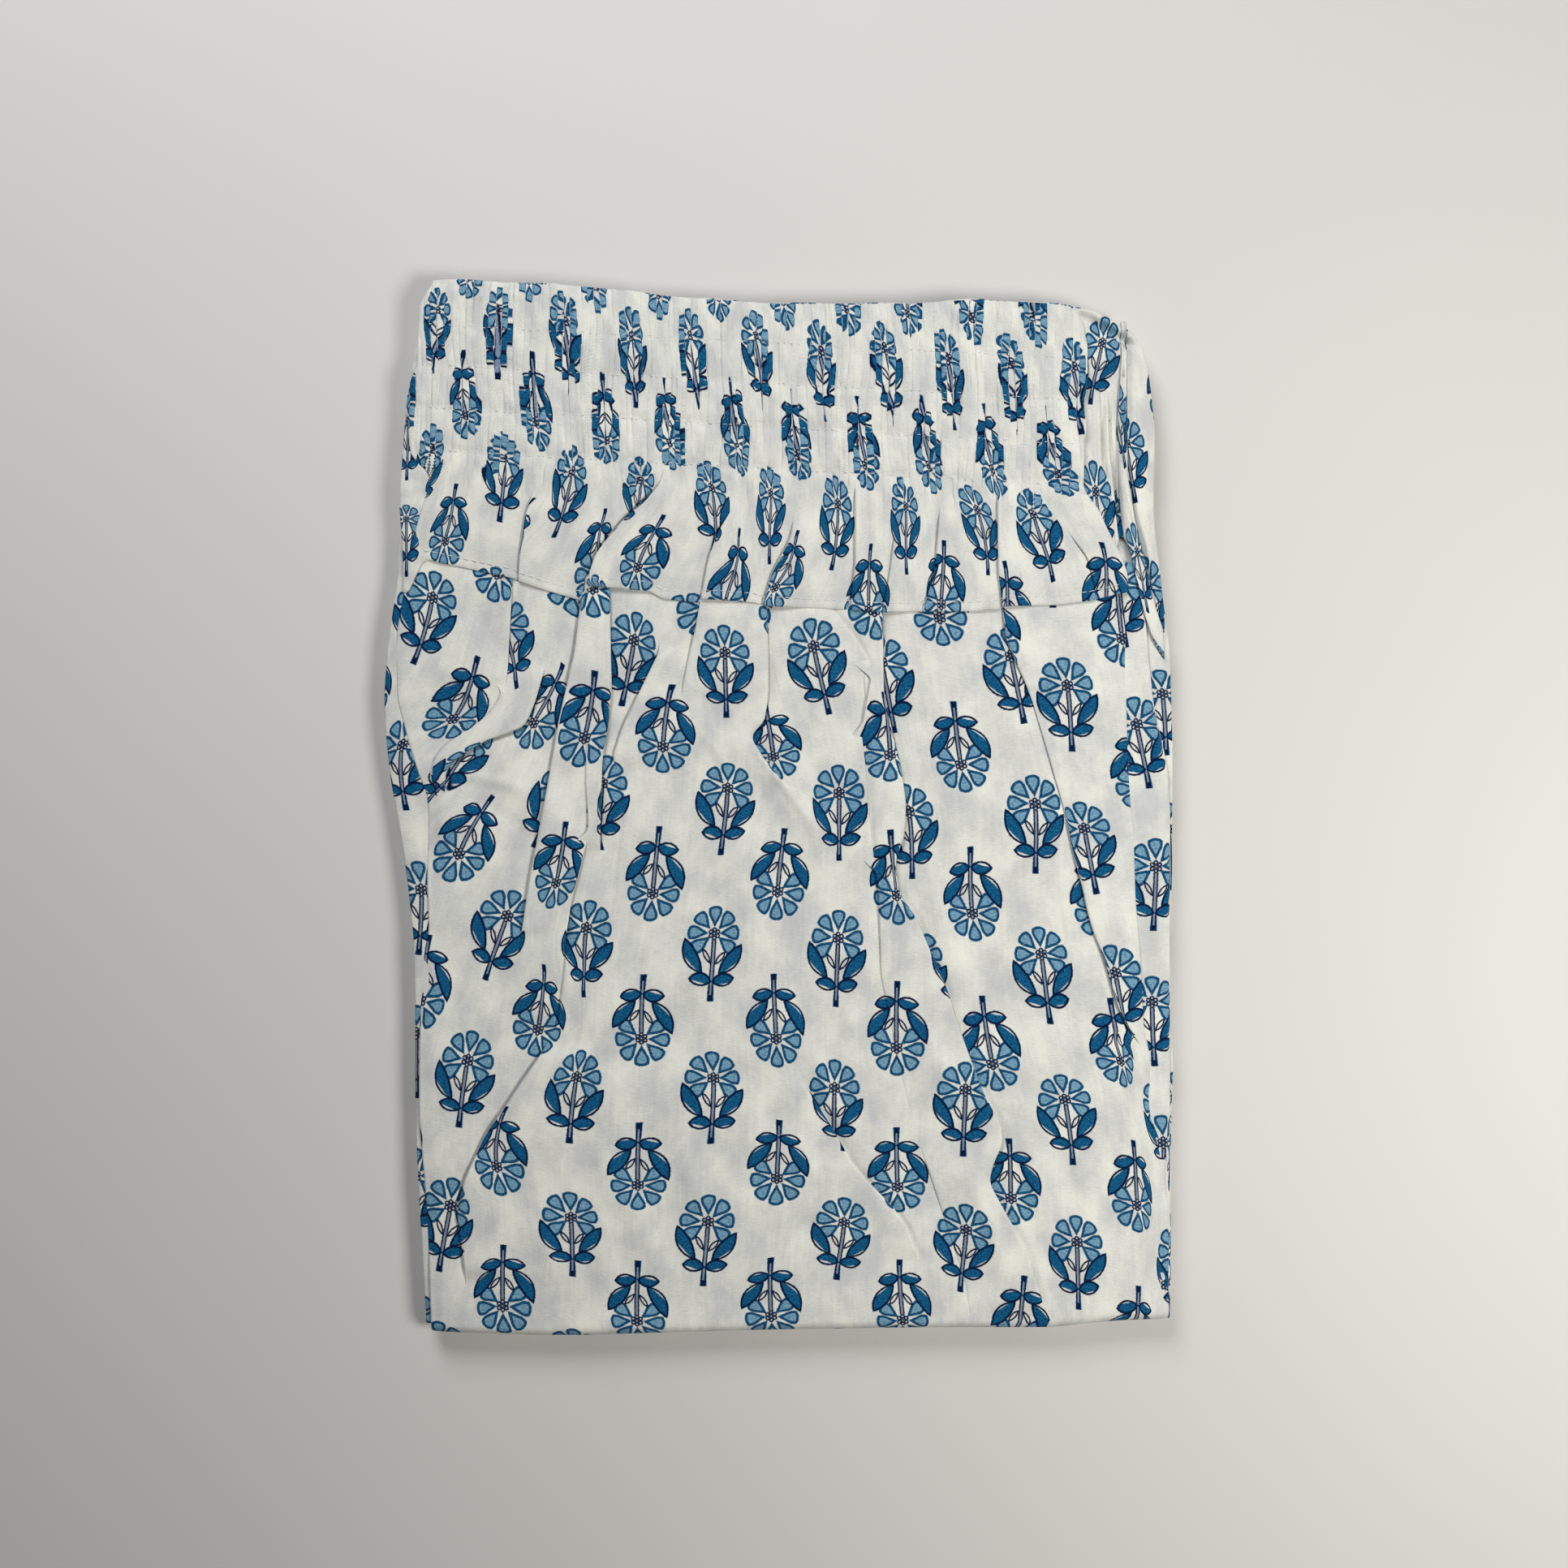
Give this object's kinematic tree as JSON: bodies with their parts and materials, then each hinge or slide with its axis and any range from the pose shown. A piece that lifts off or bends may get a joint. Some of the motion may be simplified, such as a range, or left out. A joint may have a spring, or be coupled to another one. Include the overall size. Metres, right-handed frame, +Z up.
{
  "type": "folded palazzo pants with a shirred elastic waistband",
  "caption": "Wide-legged printed cotton trousers with a gathered elastic waistband, folded flat into a soft packet that lies face up.",
  "frame": {"origin": "centre of the packet's bounding box, on the surface that it rests on", "axes": "+Z up, +Y towards the waist, +X towards the right of the picture, which is the wearer's left side"},
  "size_m": [0.3559, 0.4764, 0.0161],
  "materials": {
    "band_cloth": "matte",
    "leg_cloth": "matte",
    "inner_layers": "matte",
    "thread": "satin"
  },
  "bodies": {
    "root": {"folded_layers": "inner_layers", "back_leg_left": "leg_cloth", "back_leg_right": "leg_cloth", "waistband_back": "band_cloth", "front_leg_left": "leg_cloth", "front_leg_right": "leg_cloth", "waistband_front": "band_cloth"}
  },
  "joints": []
}
